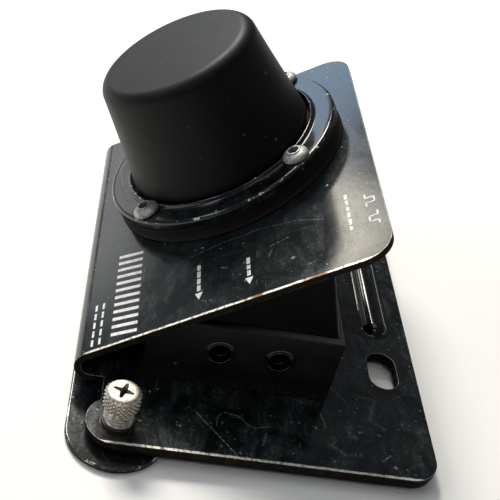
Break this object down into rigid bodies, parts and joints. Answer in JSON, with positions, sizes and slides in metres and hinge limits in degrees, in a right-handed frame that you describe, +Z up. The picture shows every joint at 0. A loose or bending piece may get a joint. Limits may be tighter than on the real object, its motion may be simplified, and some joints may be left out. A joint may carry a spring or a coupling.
{
  "type": "kick drum trigger pad",
  "caption": "Kick drum trigger pad: folded black steel plate with a round rubber strike pad in a clamp ring, a connection box, a front clamping bar and an anchor bolt.",
  "frame": {"origin": "on the floor, under the middle of the part's bounding box", "axes": "+X towards the side with the sockets and the anchor bolt, +Y away from the player, +Z up"},
  "size_m": [0.1864, 0.1402, 0.1116],
  "materials": {
    "gloss_black_paint": "gloss black paint, scuffed and dusty",
    "matte_black_rubber": "matte black rubber",
    "brown_black_rubber": "matte brown-black rubber",
    "black_moulded_plastic": "fine-grained black plastic",
    "dull_plated_screw": "dull zinc plate",
    "bright_plated_bolt": "bright nickel plate",
    "bare_steel": "plated steel",
    "sensor_brass": "satin brass",
    "foam": "grey foam",
    "board_resin": "green solder mask",
    "lead_sleeve": "grey sleeve"
  },
  "bodies": {
    "frame": {"anchor_bush": "bare_steel", "bar_nut": "dull_plated_screw", "bar_screw": "dull_plated_screw", "board_screw_1": "dull_plated_screw", "board_screw_2": "dull_plated_screw", "chassis": "gloss_black_paint", "circuit_board": "board_resin", "clamp_ring": "gloss_black_paint", "floor_mat": "brown_black_rubber", "front_bar": "gloss_black_paint", "housing_cover": "black_moulded_plastic", "housing_screw_1": "dull_plated_screw", "housing_screw_2": "dull_plated_screw", "housing_tray": "black_moulded_plastic", "mix_collar": "bare_steel", "mix_jack": "black_moulded_plastic", "output_collar": "bare_steel", "output_jack": "black_moulded_plastic", "pad_brim": "brown_black_rubber", "piezo_disc": "sensor_brass", "ring_nut_1": "dull_plated_screw", "ring_nut_2": "dull_plated_screw", "ring_nut_3": "dull_plated_screw", "ring_nut_4": "dull_plated_screw", "ring_screw_1": "dull_plated_screw", "ring_screw_2": "dull_plated_screw", "ring_screw_3": "dull_plated_screw", "ring_screw_4": "dull_plated_screw", "sensor_cushion": "foam", "sensor_lead": "lead_sleeve", "sensor_plate": "bare_steel", "slope_grommet": "matte_black_rubber", "switch_body": "bare_steel", "tray_grommet": "matte_black_rubber"},
    "pad": {"strike_pad": "matte_black_rubber", "pad_foam": "foam"},
    "anchor": {"anchor_bolt": "bright_plated_bolt"},
    "polarity_switch": {"switch_slider": "black_moulded_plastic"}
  },
  "joints": [
    {"name": "pad_press", "type": "slide", "parent": "frame", "child": "pad", "axis": [0, 0.5664, -0.8241], "range_m": [0, 0.003], "stiffness_N_per_m": 20000},
    {"name": "anchor_feed", "type": "slide", "parent": "frame", "child": "anchor", "axis": [0, 0, -1], "range_m": [-0.002, 0.006]},
    {"name": "polarity_slide", "type": "slide", "parent": "frame", "child": "polarity_switch", "axis": [1, 0, 0], "range_m": [0, 0.004]}
  ]
}
